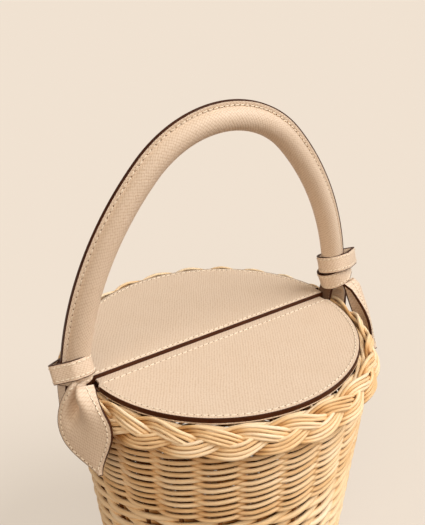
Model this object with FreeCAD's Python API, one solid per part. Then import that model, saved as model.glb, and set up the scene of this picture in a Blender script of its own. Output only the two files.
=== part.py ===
"""Wicker bucket bag with a split leather lid and a rolled leather top handle.

Units are millimetres.  +Z is up and the origin is the bottom centre of the basket.
X runs along the lid's seam, from handle foot to handle foot, and -Y is the opening front half.
Heights marked "rel" are measured from the top face of the front flap, at z = LID_Z.
"""
import FreeCAD, Part
import math
import os

V = FreeCAD.Vector
X_AXIS = V(1, 0, 0)
Y_AXIS = V(0, 1, 0)
Z_AXIS = V(0, 0, 1)
CENTRE = V(0, 0, 0)

# ---- basket -------------------------------------------------------------------------------
LID_Z = 190.0            # height of the lid's top face
WALL_TOP_R = 110.3       # outer radius of the wall, continued up to the lid's height
TAPER = 0.105            # loss of radius per millimetre further down
WALL_T = 10.0            # stake plus a weaver on each side
ROW_T = 10.4             # the same through one open row of thicker rods
STAKE_COUNT = 24
STAKE_FIRST_DEG = 10.1   # keeps the two handle straps between stakes
STAKE_R = 2.0
STAKE_FOOT_Z = 5.0

# Levels of the woven bands, from the floor up.
FOOT_TOP_Z = 11.0
LOWER_WEAVE_TOP_Z = 55.0
OPEN_ROW_FIRST_Z = 61.5
OPEN_ROW_PITCH = 10.5
OPEN_ROW_COUNT = 5
OPEN_ROW_H = 6.6
UPPER_WEAVE_Z = 110.0
UPPER_WEAVE_TOP_Z = 170.0
BAND_GAP = 0.1           # daylight between two stacked bands

# Base: two crossed layers of sticks in a woven disc.
BASE_R = 80.5
BASE_EYE_R = 4.0
BASE_Z = 3.2
BASE_T = 6.6
BASE_STICK_R = 1.4
BASE_STICK_OFFSETS = (-42.0, -14.0, 14.0, 42.0)
BASE_STICK_LEVELS = {"base_sticks_lower": 4.9, "base_sticks_upper": 8.0}

# Plaited border, an oval section leaning inwards at its top.
BRAID_R = 108.8
BRAID_REL_Z = -11.5
BRAID_HALF_H = 10.5
BRAID_HALF_T = 4.2
BRAID_LEAN_DEG = 22.0
COIL_R = 101.2
COIL_REL_Z = -7.3
COIL_ROD_R = 1.7

# ---- lid ----------------------------------------------------------------------------------
FLAP_R = 99.6
REAR_R = 102.6
SEAM_Y = -0.5            # the rear half's straight edge
HINGE_Y = -6.0           # the line on which the flap's leather bends
LEATHER_T = 1.6
BOARD_SETBACK_Y = -9.5
REAR_TOP_REL_Z = 3.0
REAR_LEATHER_REL_Z = 1.4
REAR_BOARD_REL_Z = -2.2
REAR_LINING_REL_Z = -3.4
REAR_LINING_R = 99.0
STRIP_HALF_X = 97.0
STRIP_FRONT_Y = -3.2
STRIP_BACK_Y = 8.5
FLAP_BOARD_REL_Z = -2.7
FLAP_LINING_REL_Z = -3.6
LINING_T = 0.8
LAYER_GAP = 0.1
MOUTH_OUT_R = 101.2
MOUTH_IN_R = 86.0
MOUTH_REL_Z = -5.5
MAGNET_Y = -91.0
MAGNET_R = 6.0
CATCH_R = 6.5
CATCH_T = 1.2

# ---- handle -------------------------------------------------------------------------------
CROWN_R = 74.4           # the arch: a crown arc, a flatter shoulder arc, then straight legs
CROWN_DEG = 46.5
SHOULDER_R = 201.2
SHOULDER_DEG = 80.4
APEX_REL_Z = 156.3
LEG_END_REL_Z = 6.0
TUBE_R = 7.7
CORE_R = 5.9
FLANGE_H = 3.8
FLANGE_T = 3.0
TILT_REL_Z = -8.0        # axis on which the handle tips to and fro
HANDLE_LEAN_DEG = 3.4    # it rests leaning towards the front
TAB_X = 115.0
TAB_T = 2.6
TAB_HALF_W = 8.0
TAB_LOW_REL_Z = -18.0
TAB_TOP_REL_Z = 9.0

# Straps through the rim, a U under the plaited border.
STRAP_IN_X = 100.6
STRAP_OUT_X = 120.6
STRAP_T = 2.0
STRAP_HALF_W = 6.0
STRAP_LOW_REL_Z = -24.2
STRAP_IN_TOP_REL_Z = 2.0
STRAP_OUT_TOP_REL_Z = -5.0
NOTCH_HALF_W = 7.2

# Knots: two flat bands round each handle leg.
BAND_H = 11.6
BAND_T = 2.2
BAND_HALF_X = 13.6
BAND_HALF_Y = 10.6
BAND_OUT = 3.8           # how far the band's centre sits outside the leg's
SIDES = {
    # sign of x, band middles (rel z), band tilts outwards, leaf top point, leaf facing
    "left": {"sign": -1, "upper": 26.8, "lower": 14.6, "tilt": (8.0, 8.0),
             "leaf_top": (123.6, -8.0, 3.0), "leaf_face": 25.0},
    "right": {"sign": 1, "upper": 27.5, "lower": 14.6, "tilt": (3.0, 8.0),
              "leaf_top": (123.6, -7.0, 3.0), "leaf_face": 12.0},
}
LEAF_LEN = 62.0
LEAF_NECK = 6.0
LEAF_HALF_W = 18.0
LEAF_WIDEST = 27.0
LEAF_T = 2.0
LEAF_LEAN_DEG = 20.0

PARTS = {}


def rel(z):
    """Absolute height of a level measured from the lid's top face."""
    return LID_Z + z


def wall_r(z):
    """Outer radius of the basket's wall at height z."""
    return WALL_TOP_R - TAPER * (LID_Z - z)


def save(name, shape):
    PARTS[name] = shape


def revolve(points):
    """Solid of revolution about Z from a closed outline of (radius, z) points."""
    wire = Part.makePolygon([V(r, 0, z) for r, z in points + points[:1]])
    return Part.Face(wire).revolve(CENTRE, Z_AXIS, 360)


def wall_band(z0, z1, thickness):
    """Tapered ring of wall between two heights."""
    return revolve([(wall_r(z0) - thickness, z0), (wall_r(z0), z0),
                    (wall_r(z1), z1), (wall_r(z1) - thickness, z1)])


def disc(r, z0, z1, x=0.0, y=0.0):
    return Part.makeCylinder(r, z1 - z0, V(x, y, z0))


def box(x0, x1, y0, y1, z0, z1):
    return Part.makeBox(x1 - x0, y1 - y0, z1 - z0, V(x0, y0, z0))


def half_disc(r, z0, z1, y0, y1):
    """The part of a disc that lies between two lines along X."""
    return disc(r, z0, z1).common(box(-r - 1, r + 1, y0, y1, z0, z1))


def strap_notches(half_w, x_from, z0, z1):
    """The two gaps at the ends of the seam that leave room for the handle straps."""
    right = box(x_from, STRAP_OUT_X + 5, -half_w, half_w, z0, z1)
    return right.fuse(right.rotated(CENTRE, Z_AXIS, 180))


# ---- basket -------------------------------------------------------------------------------
def make_stakes():
    low_z, top_z = STAKE_FOOT_Z, rel(-8.0)
    rods = []
    for k in range(STAKE_COUNT):
        angle = math.radians(STAKE_FIRST_DEG + k * 360.0 / STAKE_COUNT)
        ends = []
        for z in (low_z, top_z):
            r = wall_r(z) - WALL_T / 2
            ends.append(V(r * math.cos(angle), r * math.sin(angle), z))
        run = ends[1] - ends[0]
        rods.append(Part.makeCylinder(STAKE_R, run.Length, ends[0], run))
    return Part.makeCompound(rods)


def make_braid():
    """Oval ring, turned so that its top leans in over the basket's mouth."""
    lean = math.radians(BRAID_LEAN_DEG)
    middle = V(BRAID_R, 0, rel(BRAID_REL_Z))
    long_axis = V(-math.sin(lean), 0, math.cos(lean))
    end = middle + long_axis * BRAID_HALF_H
    side = middle + V(math.cos(lean), 0, math.sin(lean)) * BRAID_HALF_T
    oval = Part.Ellipse(end, side, middle).toShape()
    return Part.Face(Part.Wire(oval)).revolve(CENTRE, Z_AXIS, 360)


def make_basket():
    stakes = make_stakes()
    save("stakes", stakes)

    foot = wall_band(0, FOOT_TOP_Z, WALL_T)
    save("foot_wale", foot.cut(stakes))
    save("lower_weave", wall_band(FOOT_TOP_Z + BAND_GAP, LOWER_WEAVE_TOP_Z, WALL_T).cut(stakes))
    for k in range(OPEN_ROW_COUNT):
        middle = OPEN_ROW_FIRST_Z + k * OPEN_ROW_PITCH
        row = wall_band(middle - OPEN_ROW_H / 2, middle + OPEN_ROW_H / 2, ROW_T)
        save("open_row_%d" % (k + 1), row.cut(stakes))

    weave = wall_band(UPPER_WEAVE_Z, UPPER_WEAVE_TOP_Z, WALL_T).cut(stakes)
    strap_slot = strap_notches(NOTCH_HALF_W, STRAP_IN_X - 6, rel(STRAP_LOW_REL_Z - 1), LID_Z)
    save("upper_weave", weave.cut(strap_slot))

    save("rim_braid", make_braid().cut(stakes))
    coil = Part.makeTorus(COIL_R, COIL_ROD_R, V(0, 0, rel(COIL_REL_Z)))
    save("inner_rim_coil", coil.cut(strap_notches(NOTCH_HALF_W, 90, rel(-20), LID_Z)))


def make_base():
    weave = disc(BASE_R, BASE_Z, BASE_Z + BASE_T).cut(disc(BASE_EYE_R, BASE_Z, BASE_Z + BASE_T))
    for name, z in BASE_STICK_LEVELS.items():
        lengthwise = name.endswith("upper")
        rods = []
        for offset in BASE_STICK_OFFSETS:
            reach = math.sqrt((BASE_R - 1.5) ** 2 - offset ** 2)
            start = V(-reach, offset, z) if lengthwise else V(offset, -reach, z)
            rods.append(Part.makeCylinder(BASE_STICK_R, 2 * reach, start,
                                          X_AXIS if lengthwise else Y_AXIS))
        sticks = Part.makeCompound(rods)
        save(name, sticks)
        weave = weave.cut(sticks)
    save("base_weave", weave)


# ---- lid ----------------------------------------------------------------------------------
def make_lid():
    corners = strap_notches(NOTCH_HALF_W, STRAP_IN_X - 0.7, rel(-10), rel(10))
    ring = disc(MOUTH_OUT_R, rel(MOUTH_REL_Z), rel(MOUTH_REL_Z + LEATHER_T))
    hole = disc(MOUTH_IN_R, rel(MOUTH_REL_Z), rel(MOUTH_REL_Z + LEATHER_T))
    save("mouth_ring", ring.cut(hole).cut(corners))
    catch_top = rel(MOUTH_REL_Z - LAYER_GAP)
    save("catch_plate", disc(CATCH_R, catch_top - CATCH_T, catch_top, y=MAGNET_Y))

    rear_leather = half_disc(REAR_R, rel(REAR_LEATHER_REL_Z), rel(REAR_TOP_REL_Z), SEAM_Y, REAR_R)
    save("rear_lid_leather", rear_leather.cut(corners))
    board_top = REAR_LEATHER_REL_Z - LAYER_GAP
    board = half_disc(REAR_R, rel(REAR_BOARD_REL_Z), rel(board_top), SEAM_Y, REAR_R)
    strip_room = box(-STRIP_HALF_X - 1, STRIP_HALF_X + 1, SEAM_Y - 1, STRIP_BACK_Y + LAYER_GAP,
                     rel(-LEATHER_T - LAYER_GAP), rel(0))
    save("rear_lid_board", board.cut(corners).cut(strip_room))
    save("rear_lid_lining", half_disc(REAR_LINING_R, rel(REAR_LINING_REL_Z),
                                      rel(REAR_BOARD_REL_Z - LAYER_GAP), SEAM_Y, REAR_LINING_R))
    save("lid_hinge_strip", box(-STRIP_HALF_X, STRIP_HALF_X, STRIP_FRONT_Y, STRIP_BACK_Y,
                                rel(-LEATHER_T), rel(-LAYER_GAP)))

    save("flap_leather", half_disc(FLAP_R, rel(-LEATHER_T), LID_Z, -FLAP_R, HINGE_Y))
    board_top = -LEATHER_T - LAYER_GAP
    board = half_disc(FLAP_R, rel(FLAP_BOARD_REL_Z), rel(board_top), -FLAP_R, BOARD_SETBACK_Y)
    magnet = disc(MAGNET_R, rel(FLAP_BOARD_REL_Z), rel(board_top), y=MAGNET_Y)
    pocket = disc(MAGNET_R + LAYER_GAP, rel(FLAP_BOARD_REL_Z), rel(board_top), y=MAGNET_Y)
    save("flap_board", board.cut(pocket))
    save("flap_magnet", magnet)
    save("flap_lining", half_disc(FLAP_R, rel(FLAP_LINING_REL_Z), rel(FLAP_LINING_REL_Z + LINING_T),
                                  -FLAP_R, HINGE_Y))


# ---- handle -------------------------------------------------------------------------------
def arch_side(outward):
    """Points and arcs of the arch's right side, moved outwards by a distance.

    Returns the crown's top, the crown's middle and end, the shoulder's middle and end,
    and the foot of the leg, all in the plane y = 0.
    """
    crown_end = math.radians(CROWN_DEG)
    shoulder_end = math.radians(SHOULDER_DEG)
    crown_z = rel(APEX_REL_Z) - CROWN_R
    step = CROWN_R - SHOULDER_R
    shoulder_c = V(step * math.sin(crown_end), 0, crown_z + step * math.cos(crown_end))

    def on_arc(centre, radius, angle):
        reach = radius + outward
        return centre + V(reach * math.sin(angle), 0, reach * math.cos(angle))

    crown_c = V(0, 0, crown_z)
    end = on_arc(shoulder_c, SHOULDER_R, shoulder_end)
    drop = end.z - rel(LEG_END_REL_Z)
    foot = end + V(drop / math.tan(shoulder_end), 0, -drop)
    return [on_arc(crown_c, CROWN_R, 0), on_arc(crown_c, CROWN_R, crown_end / 2),
            on_arc(crown_c, CROWN_R, crown_end),
            on_arc(shoulder_c, SHOULDER_R, (crown_end + shoulder_end) / 2), end, foot]


def arch_edges(outward=0.0):
    """The whole arch from the left foot to the right foot."""
    right = arch_side(outward)
    left = [V(-p.x, p.y, p.z) for p in right]
    top, _, crown_r, shoulder_mid_r, shoulder_r, foot_r = right
    _, _, crown_l, shoulder_mid_l, shoulder_l, foot_l = left
    return [Part.LineSegment(foot_l, shoulder_l).toShape(),
            Part.Arc(shoulder_l, shoulder_mid_l, crown_l).toShape(),
            Part.Arc(crown_l, top, crown_r).toShape(),
            Part.Arc(crown_r, shoulder_mid_r, shoulder_r).toShape(),
            Part.LineSegment(shoulder_r, foot_r).toShape()]


def arch_rod(radius):
    """Round bar along the arch."""
    path = Part.Wire(arch_edges())
    foot, shoulder = arch_side(0)[-1], arch_side(0)[-2]
    start = V(-foot.x, 0, foot.z)
    along = V(-shoulder.x, 0, shoulder.z) - start
    section = Part.Wire(Part.makeCircle(radius, start, along))
    return path.makePipeShell([section], True, False)


def arch_flange():
    """The stitched edge that stands out along the whole outer side of the tube."""
    inner = arch_edges(TUBE_R - 1.2)
    outer = arch_edges(TUBE_R + FLANGE_H)
    ends = [Part.LineSegment(inner[i].Vertexes[i].Point, outer[i].Vertexes[i].Point).toShape()
            for i in (0, -1)]
    face = Part.Face(Part.Wire(Part.__sortEdges__(inner + outer + ends)))
    slab = face.extrude(V(0, FLANGE_T, 0))
    slab.translate(V(0, -FLANGE_T / 2, 0))
    return slab


def leg_x(rel_z):
    """Distance of a leg's centre line from the middle, at a height below the shoulder."""
    foot = arch_side(0)[-1]
    return foot.x - (rel(rel_z) - foot.z) / math.tan(math.radians(SHOULDER_DEG))


def oval_band(rel_z, sign, tilt_deg):
    """Flat oval ring round a leg, tipped down on its outer side."""
    def oval(half_x, half_y):
        wire = Part.Wire(Part.Ellipse(CENTRE, half_x, half_y).toShape())
        return Part.Face(wire).extrude(V(0, 0, BAND_H))
    ring = oval(BAND_HALF_X, BAND_HALF_Y).cut(oval(BAND_HALF_X - BAND_T, BAND_HALF_Y - BAND_T))
    ring.translate(V(0, 0, -BAND_H / 2))
    ring.rotate(CENTRE, Y_AXIS, sign * tilt_deg)
    ring.translate(V(sign * (leg_x(rel_z) + BAND_OUT), 0, rel(rel_z)))
    return ring


def make_handle():
    lean_about = V(0, 0, rel(TILT_REL_Z))

    def save_leaning(name, shape):
        save(name, shape.rotated(lean_about, X_AXIS, HANDLE_LEAN_DEG))

    cover = arch_rod(TUBE_R).fuse(arch_flange())
    tab = box(TAB_X, TAB_X + TAB_T, -TAB_HALF_W, TAB_HALF_W, rel(TAB_LOW_REL_Z), rel(TAB_TOP_REL_Z))
    tabs = tab.fuse(tab.rotated(CENTRE, Z_AXIS, 180))
    core = arch_rod(CORE_R)
    cover = cover.fuse(tabs).cut(core)
    inside_bands = arch_rod(TUBE_R + LAYER_GAP).fuse(tabs)
    save_leaning("handle_cover", cover)
    save_leaning("handle_core", core)
    for side, spec in SIDES.items():
        for which, tilt in zip(("upper", "lower"), spec["tilt"]):
            band = oval_band(spec[which], spec["sign"], tilt)
            save_leaning("knot_%s_%s" % (which, side), band.cut(inside_bands))


def make_rim_strap():
    """U of flat strap round the plaited border, at the right-hand end of the seam."""
    low, bend = rel(STRAP_LOW_REL_Z), rel(STRAP_LOW_REL_Z + STRAP_T)
    inner = box(STRAP_IN_X, STRAP_IN_X + STRAP_T, -STRAP_HALF_W, STRAP_HALF_W,
                low, rel(STRAP_IN_TOP_REL_Z))
    under = box(STRAP_IN_X, STRAP_OUT_X, -STRAP_HALF_W, STRAP_HALF_W, low, bend)
    outer = box(STRAP_OUT_X - STRAP_T, STRAP_OUT_X, -STRAP_HALF_W, STRAP_HALF_W,
                low, rel(STRAP_OUT_TOP_REL_Z))
    return inner.fuse([under, outer]).removeSplitter()


def make_leaf(spec):
    """Leaf-shaped end of the strap, hanging from its knot."""
    sides = []
    for half in (1, -1):
        sides.append(Part.Arc(V(half * LEAF_NECK, 0, 0), V(half * LEAF_HALF_W, -LEAF_WIDEST, 0),
                              V(0, -LEAF_LEN, 0)).toShape())
    top = Part.LineSegment(V(-LEAF_NECK, 0, 0), V(LEAF_NECK, 0, 0)).toShape()
    blade = Part.Face(Part.Wire(Part.__sortEdges__(sides + [top]))).extrude(V(0, 0, LEAF_T))
    blade.translate(V(0, 0, -LEAF_T / 2))
    sign = spec["sign"]
    blade.rotate(CENTRE, Z_AXIS, LEAF_LEAN_DEG * -sign)      # leaning to the front
    blade.rotate(CENTRE, X_AXIS, 90)                         # upright, facing -Y
    blade.rotate(CENTRE, Z_AXIS, sign * (90 - spec["leaf_face"]))
    x, y, z = spec["leaf_top"]
    blade.translate(V(sign * x, y, rel(z)))
    return blade


def make_straps_and_leaves():
    strap = make_rim_strap()
    for side, spec in SIDES.items():
        save("rim_strap_" + side, strap if spec["sign"] > 0 else strap.rotated(CENTRE, Z_AXIS, 180))
        save("leaf_tail_" + side, make_leaf(spec))


make_basket()
make_base()
make_lid()
make_handle()
make_straps_and_leaves()

os.makedirs("parts", exist_ok=True)
for node, shape in PARTS.items():
    shape.exportStep("parts/%s.step" % node)
    bb = shape.BoundBox
    print("%-18s solids %2d  valid %s  x %.1f %.1f  y %.1f %.1f  z %.1f %.1f" % (
        node, len(shape.Solids), shape.isValid(), bb.XMin, bb.XMax, bb.YMin, bb.YMax, bb.ZMin, bb.ZMax))
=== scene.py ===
"""Looks of a small bucket bag: a woven rattan basket with a leather lid and an arched leather handle."""
import math

import bmesh
import bpy
import numpy as np
from mathutils import Matrix, Vector


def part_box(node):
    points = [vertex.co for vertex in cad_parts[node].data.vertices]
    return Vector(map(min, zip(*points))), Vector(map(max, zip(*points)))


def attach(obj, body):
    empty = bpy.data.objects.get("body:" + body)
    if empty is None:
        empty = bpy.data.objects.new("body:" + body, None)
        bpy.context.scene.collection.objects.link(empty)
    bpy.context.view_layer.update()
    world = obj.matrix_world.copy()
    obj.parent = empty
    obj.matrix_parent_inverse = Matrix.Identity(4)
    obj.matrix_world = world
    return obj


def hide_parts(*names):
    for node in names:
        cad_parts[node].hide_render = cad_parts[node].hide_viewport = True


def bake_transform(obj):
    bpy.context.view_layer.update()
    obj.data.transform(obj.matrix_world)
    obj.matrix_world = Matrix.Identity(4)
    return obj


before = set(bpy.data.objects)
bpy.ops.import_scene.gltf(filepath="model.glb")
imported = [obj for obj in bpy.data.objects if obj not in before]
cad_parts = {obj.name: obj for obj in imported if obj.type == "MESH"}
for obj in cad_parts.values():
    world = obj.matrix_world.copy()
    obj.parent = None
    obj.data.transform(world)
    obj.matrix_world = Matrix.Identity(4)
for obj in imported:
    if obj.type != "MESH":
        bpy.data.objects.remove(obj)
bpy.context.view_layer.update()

MM = 0.001
PLAIN_TINT = 0.5
rng = np.random.default_rng(11)


def box_mm(node):
    """Lowest and highest corner of a CAD node, in millimetres."""
    low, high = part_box(node)
    return np.array(low) / MM, np.array(high) / MM


# ---- sizes, in millimetres ----------------------------------------------------------------
LID_Z = box_mm("flap_leather")[1][2]            # the flap's top face
FLAP_R = -box_mm("flap_leather")[0][1]
FLAP_EDGE_Y = box_mm("flap_leather")[1][1]      # the line that the flap bends on
FLAP_LOW_Z = box_mm("flap_lining")[0][2]
REAR_R = box_mm("rear_lid_leather")[1][1]
REAR_TOP_Z = box_mm("rear_lid_leather")[1][2]
REAR_LEATHER_Z = box_mm("rear_lid_leather")[0][2]
REAR_LOW_Z = box_mm("rear_lid_lining")[0][2]
SEAM_Y = box_mm("rear_lid_leather")[0][1]
STRIP_HIGH = box_mm("lid_hinge_strip")[1]
MOUTH_LOW, MOUTH_HIGH = box_mm("mouth_ring")
UPPER_LOW, UPPER_HIGH = box_mm("upper_weave")
LOWER_LOW, LOWER_HIGH = box_mm("lower_weave")
FOOT_LOW, FOOT_HIGH = box_mm("foot_wale")
BASE_LOW, BASE_HIGH = box_mm("base_weave")
TAPER = (UPPER_HIGH[0] - LOWER_HIGH[0]) / (UPPER_HIGH[2] - LOWER_HIGH[2])

STAKES = 24
STAKE_FIRST = math.radians(10.1)
STAKE_STEP = 2 * math.pi / STAKES
STAKE_R = 1.5
STAKE_DEPTH = 1.3        # how far the stakes stand inside the middle of the weave
ROD_INSIDE_SHADE = 1.1     # painted shade: rods are tinted darker where they pass inside
ROW_PITCH = 5.2
WEAVE_ABOVE = 2.4        # how far the top rows go up behind the border

# rows of rods: inset is from the wall's face to the row's middle, swing is in and out round the
# stakes, rise is up and down, and tone runs from dark to pale
WEAVER = {"strands": 2, "inset": 3.38, "swing": 2.0, "rise": 1.28, "rod_r": 1.38, "tone": (0.35, 0.75)}
THICK_ROW = {"strands": 3, "inset": 5.1, "swing": 3.1, "rise": 1.9, "rod_r": 2.0, "tone": (0.55, 0.9)}
FOOT_ROW = {"strands": 3, "inset": 5.1, "swing": 2.7, "rise": 1.0, "rod_r": 1.7, "tone": (0.3, 0.7)}
FOOT_LEVELS = (FOOT_LOW[2] + 3.3, FOOT_HIGH[2] - 1.9)
OPEN_ROWS = 5
# tints of the other rods, from dark to pale; the stakes' very low tints are painted shade, for the shade
# they stand in behind the rows
ROD_TINTS_AND_STAKE_SHADE = {"stake": (-0.7, -0.4), "border": (0.4, 0.9), "coil": (0.4, 0.8), "base": (0.3, 0.7),
         "spoke": (0.3, 0.6)}

BRAID_R = 108.8
BRAID_REL_Z = -11.2
BRAID_LEAN = math.radians(22)
BRAID_SWAY = 5.7         # half height of one strand's weave
BRAID_DEPTH = 1.9
BRAID_RODS = 4           # rods side by side in each strand
BRAID_ROD_R = 1.2
BRAID_WAVER = 0.3
BRAID_WAVES = (9, 17, 23, 31)
BRAID_PERIODS = 8
BRAID_BACK_RISE = 4.8    # the border stands a little higher behind
BRAID_PHASE = math.radians(55)
COIL_R = 101.2
COIL_REL_Z = -7.3
COIL_ROD_R = 1.7
COIL_TWIST = (1.5, 1.7)  # how far its two rods go out and up

BASE_RING_R = 10.0       # the innermost woven ring
BASE_RING_PITCH = 4.7
BASE_ROD_R = 1.25
BASE_WAVE = (1.0, 1.9)   # how far the rings go out and up round the spokes
SPOKE_R = 1.3
SPOKE_IN_R = 3.0
SPOKE_LEVEL_R = 30.0     # both layers of spokes are level from here outwards

LEATHER_T = 1.6
EMBOSS_ROW = 1.35        # pitch of the leather's embossed rows, and of the cells along them
EMBOSS_CELL = 1.8
EMBOSS_SWAY = 4.0
EMBOSS_TURN = math.radians(-56)
STITCH_INSET = 3.0
STITCH_PITCH = 4.3
HANDLE_PITCH = 4.0
FINE_PITCH = 3.4
FLAP_SEAM_STITCH_Y = -7.4
FLAP_ROUND_Y = FLAP_EDGE_Y - 4.5                # the flap's round edge starts here
FLAP_PAINT_H = 3.5       # the painted edge covers the leather and board but not the lining
NOTCH_X = 99.9
NOTCH_HALF_W = 7.2
RING_IN_R = 86.0         # leather ring of the mouth
RING_OUT_R = 98.3

CROWN_R = 74.4
CROWN_END = math.radians(46.5)
SHOULDER_R = 201.2
SHOULDER_END = math.radians(80.4)
APEX_REL_Z = 156.3
TUBE_R = 7.7
FLANGE_OUT = 11.5
FLANGE_HALF_T = 1.15
TILT_REL_Z = -8.0
HANDLE_LEAN = math.radians(3.4)
LEG_STEP = 4.0
FOOT_X = 116.3
FOOT_HALF_T = 1.3
FOOT_HALF_W = 7.6
# height from the flap's top face and how flat the handle's foot is there
FOOT_SHAPE = ((9, 0.25), (6, 0.6), (3, 0.88), (0, 1.0), (-6, 1.0), (-12, 1.0), (-18.0, 1.0))

BAND_W = 12.4
BAND_T = 2.0
BAND_STITCH_INSET = 1.9
STRAP_W = 12.0
STRAP_T = 2.0
STRAP_LINING_HALF_W = STRAP_W / 2 - 0.5
STRAP_SHADE_STRETCH = slice(2, 18)                     # the stretch whose outer face is lined with dark suede as well, as painted shade
LEAF_T = 1.9
LEAF_STITCH_INSET = 2.6
LEAF_STITCH_END = 0.945


def rel(z):
    """Height measured from the flap's top face."""
    return LID_Z + z


def wall_r(z):
    """Outer radius of the woven wall."""
    return UPPER_HIGH[0] + TAPER * (z - UPPER_HIGH[2])


# ---- mesh building ------------------------------------------------------------------------
def unit(vectors):
    """Vectors scaled to length one."""
    vectors = np.asarray(vectors, float)
    return vectors / np.maximum(np.linalg.norm(vectors, axis=-1, keepdims=True), 1e-12)


def square_to(vectors, tangent):
    """Unit vectors with what lies along the tangents taken off."""
    return unit(vectors - (vectors * tangent).sum(1)[:, None] * tangent)


def run_length(path, closed=False):
    """Distance along a path at each of its points, and once more at the start if it is closed."""
    if closed:
        path = np.vstack([path, path[:1]])
    return np.concatenate([[0], np.cumsum(np.linalg.norm(np.diff(path, axis=0), axis=1))])


def around(count):
    """Angles spread evenly over a full turn."""
    return np.arange(count) * 2 * math.pi / count


def link(name, data):
    """A new object in the scene."""
    obj = bpy.data.objects.new(name, data)
    bpy.context.scene.collection.objects.link(obj)
    return obj


class Shape:
    """Points, faces, texture coordinates and tints of one piece, in millimetres."""

    def __init__(self):
        self.points = []
        self.faces = []
        self.uvs = []
        self.tints = []
        self.count = 0

    def add_points(self, points, tint=PLAIN_TINT):
        """Adds points and returns the number of the first one."""
        first = self.count
        points = np.asarray(points, float).reshape(-1, 3)
        self.points.append(points)
        self.tints.append(np.broadcast_to(np.asarray(tint, float), len(points)))
        self.count += len(points)
        return first

    def add_quads(self, quads, uvs):
        self.faces.extend(map(tuple, quads.tolist()))
        self.uvs.append(np.asarray(uvs, float).reshape(-1, 2))

    def add_caps(self, first, rows, sides):
        """Flat faces over the first and the last ring of a tube."""
        for ring in (np.arange(sides)[::-1], (rows - 1) * sides + np.arange(sides)):
            self.faces.append(tuple(int(i) for i in first + ring))
            self.uvs.append(np.zeros((sides, 2)))

    def add_sheet(self, first, rows, columns, uv, wrap_rows=False, wrap_columns=False, way=1):
        """Quads over a grid of points. uv has one more row or column where the grid wraps."""
        i, j = np.meshgrid(np.arange(rows if wrap_rows else rows - 1),
                           np.arange(columns if wrap_columns else columns - 1), indexing="ij")
        i, j = i.ravel(), j.ravel()
        below, right = (i + 1) % rows, (j + 1) % columns
        quads = np.stack([i * columns + j, below * columns + j,
                          below * columns + right, i * columns + right], axis=1)
        corners = np.stack([uv[i, j], uv[i + 1, j], uv[i + 1, j + 1], uv[i, j + 1]], axis=1)
        self.add_quads(quads[:, ::way] + first, corners[:, ::way])

    def tube(self, grid, uv, closed=False, tint=PLAIN_TINT):
        """Rings of points joined to a tube, which is capped unless it closes on itself."""
        rows, columns = grid.shape[:2]
        first = self.add_points(grid, tint)
        self.add_sheet(first, rows, columns, uv, wrap_rows=closed, wrap_columns=True)
        if not closed:
            self.add_caps(first, rows, columns)

    def build(self, name, finish, crease=50):
        """The finished object, in metres; finish is a material and the name of its slot, and the slot's name
        is not used.
        """
        mesh = bpy.data.meshes.new(name)
        mesh.from_pydata((np.concatenate(self.points) * MM).tolist(), [], self.faces)
        layer = mesh.uv_layers.new(name="UVMap")
        layer.data.foreach_set("uv", np.concatenate(self.uvs).astype(np.float32).ravel())
        tint = mesh.attributes.new("tint", "FLOAT", "POINT")
        tint.data.foreach_set("value", np.concatenate(self.tints).astype(np.float32))
        work = bmesh.new()
        work.from_mesh(mesh)
        bmesh.ops.recalc_face_normals(work, faces=work.faces)
        work.to_mesh(mesh)
        work.free()
        mesh.shade_smooth()
        mesh.set_sharp_from_angle(angle=math.radians(crease))
        mesh.materials.append(finish[0])
        obj = link(name, mesh)
        return obj

    def place(self, name, finish, body, node=None, crease=50):
        """The finished object on a body, in place of a CAD node if one is named."""
        obj = self.build(name, finish, crease)
        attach(obj, body)
        if node:
            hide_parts(node)


def sweep(shape, path, towards, profile, closed=False, tint=PLAIN_TINT, scale=None):
    """Moves a closed profile along a path. The profile's first number lies along towards."""
    path = np.asarray(path, float)
    profile = np.asarray(profile, float)
    if profile.ndim == 2:
        profile = np.broadcast_to(profile, (len(path),) + profile.shape)
    if scale is not None:
        profile = profile * np.asarray(scale, float)[:, None, None]
    if closed:
        tangent = unit(np.roll(path, -1, axis=0) - np.roll(path, 1, axis=0))
    else:
        tangent = unit(np.gradient(path, axis=0))
    side = square_to(np.broadcast_to(np.asarray(towards, float), path.shape), tangent)
    other = np.cross(tangent, side)
    grid = path[:, None] + side[:, None] * profile[:, :, :1] + other[:, None] * profile[:, :, 1:]
    girth = run_length(profile[len(path) // 2], True)
    uv = np.stack(np.meshgrid(run_length(path, closed), girth, indexing="ij"), axis=-1)
    if np.ndim(tint):
        tint = np.repeat(tint, profile.shape[1])
    shape.tube(grid, uv, closed, tint)


def circle(radius, sides):
    """Round profile."""
    return radius * np.stack([np.cos(around(sides)), np.sin(around(sides))], axis=1)


def rounded_bar(half_w, half_t, corner, steps=4):
    """Flat bar's profile with rounded corners: width along the first number, thickness along the second."""
    points = []
    for quarter in range(4):
        centre_x = (half_w - corner) * (1 if quarter in (0, 3) else -1)
        centre_y = (half_t - corner) * (1 if quarter in (0, 1) else -1)
        for step in range(steps + 1):
            angle = (quarter + step / steps) * math.pi / 2
            points.append((centre_x + corner * math.cos(angle), centre_y + corner * math.sin(angle)))
    return np.array(points)


def rod(shape, path, radius, towards, closed=False, sides=10, tint=PLAIN_TINT):
    """Round rod along a path, with domed ends."""
    scale = None
    if not closed:
        path = np.asarray(path, float)
        tangent = unit(np.gradient(path, axis=0))
        dome = np.radians([80, 50, 20])
        reach, slim = radius * np.sin(dome)[:, None], np.cos(dome)
        path = np.vstack([path[0] - tangent[0] * reach, path, path[-1] + tangent[-1] * reach[::-1]])
        scale = np.concatenate([slim, np.ones(len(path) - 2 * len(dome)), slim[::-1]])
        if np.ndim(towards) == 2:
            towards = np.pad(towards, ((len(dome), len(dome)), (0, 0)), "edge")
    sweep(shape, path, towards, circle(radius, sides), closed, tint, scale)


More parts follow.
